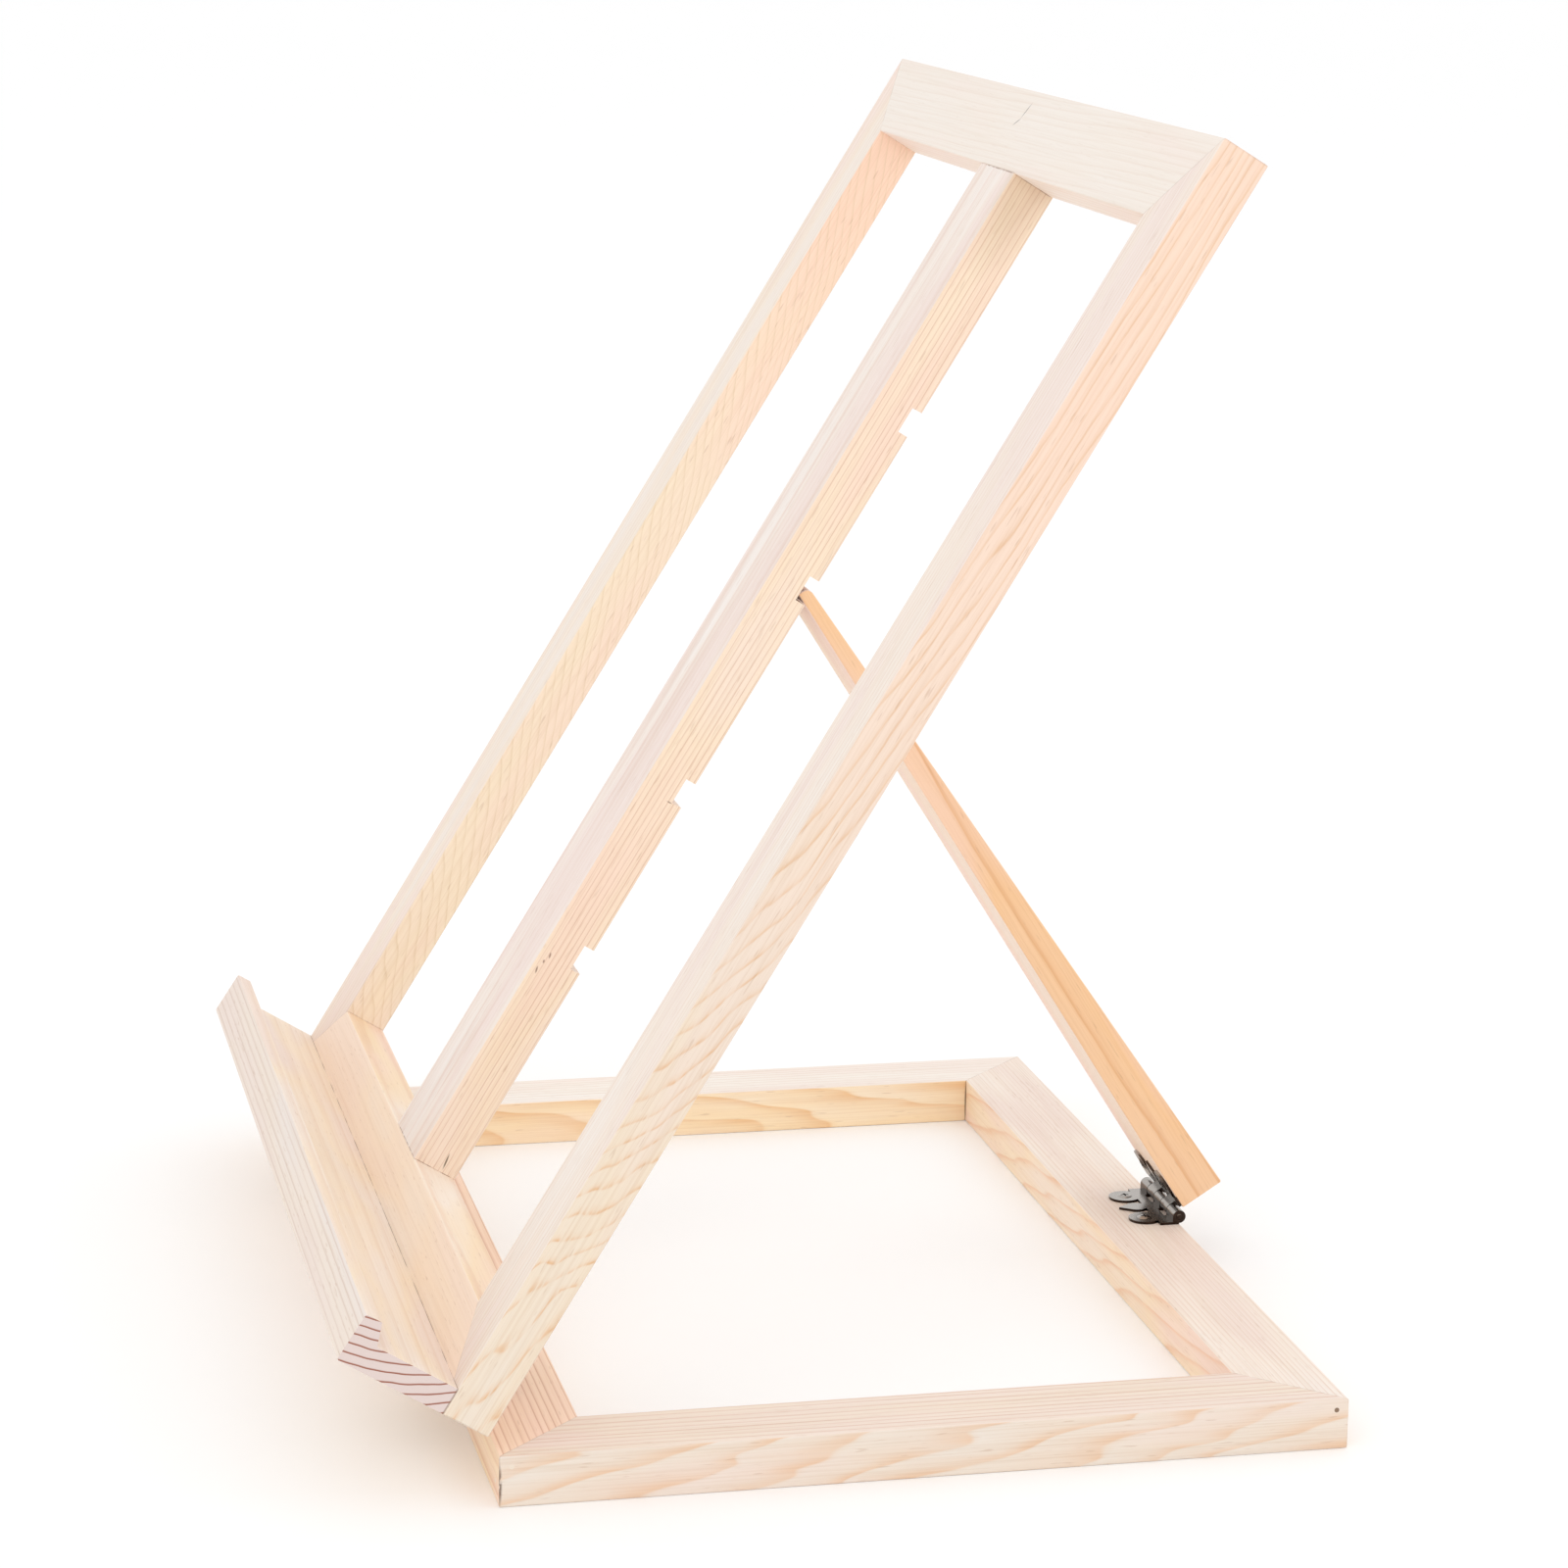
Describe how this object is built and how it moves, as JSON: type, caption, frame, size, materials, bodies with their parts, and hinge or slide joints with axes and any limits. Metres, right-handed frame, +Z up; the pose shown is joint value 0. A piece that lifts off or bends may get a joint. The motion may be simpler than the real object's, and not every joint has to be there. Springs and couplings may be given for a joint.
{
  "type": "folding book stand",
  "caption": "Folding pine reading stand: a framed back panel with a lipped ledge, hinged to a flat base frame and propped by a notched-in strut.",
  "frame": {"origin": "centre of the stand's footprint box, on the table", "axes": "+X to the reader's right, +Y away from the reader, +Z up"},
  "size_m": [0.294, 0.2515, 0.3098],
  "materials": {
    "pine": "sanded, unfinished",
    "dowel_beech": "plain turned",
    "antique_bronze": "antique bronze plating",
    "brad_steel": "bright wire",
    "screw_steel": "zinc plated"
  },
  "bodies": {
    "base": {"base_front_rail": "pine", "base_rear_rail": "pine", "base_left_rail": "pine", "base_right_rail": "pine", "base_corner_brads": "brad_steel", "strut_hinge_base_leaf": "antique_bronze", "strut_hinge_base_screws": "antique_bronze", "strut_hinge_pin": "antique_bronze", "left_hinge_base_leaf": "antique_bronze", "left_hinge_base_screws": "antique_bronze", "left_hinge_pin": "antique_bronze", "right_hinge_base_leaf": "antique_bronze", "right_hinge_base_screws": "antique_bronze", "right_hinge_pin": "antique_bronze"},
    "panel": {"panel_left_stile": "pine", "panel_right_stile": "pine", "panel_top_rail": "pine", "panel_bottom_rail": "pine", "panel_centre_rail": "pine", "panel_corner_dowels": "dowel_beech", "centre_rail_dowels": "dowel_beech", "ledge_screws": "screw_steel", "book_ledge": "pine", "left_hinge_panel_leaf": "antique_bronze", "left_hinge_panel_screws": "antique_bronze", "right_hinge_panel_leaf": "antique_bronze", "right_hinge_panel_screws": "antique_bronze"},
    "strut": {"prop_strut": "pine", "strut_hinge_strut_leaf": "antique_bronze", "strut_hinge_strut_screws": "antique_bronze"}
  },
  "joints": [
    {"name": "panel_tilt", "type": "hinge", "parent": "base", "child": "panel", "pos_m": [0, -0.0907, 0.0146], "axis": [1, 0, 0], "range_deg": [0, 50]},
    {"name": "strut_swing", "type": "hinge", "parent": "base", "child": "strut", "pos_m": [0, 0.1145, 0.0146], "axis": [-1, 0, 0], "range_deg": [0, 120]}
  ]
}
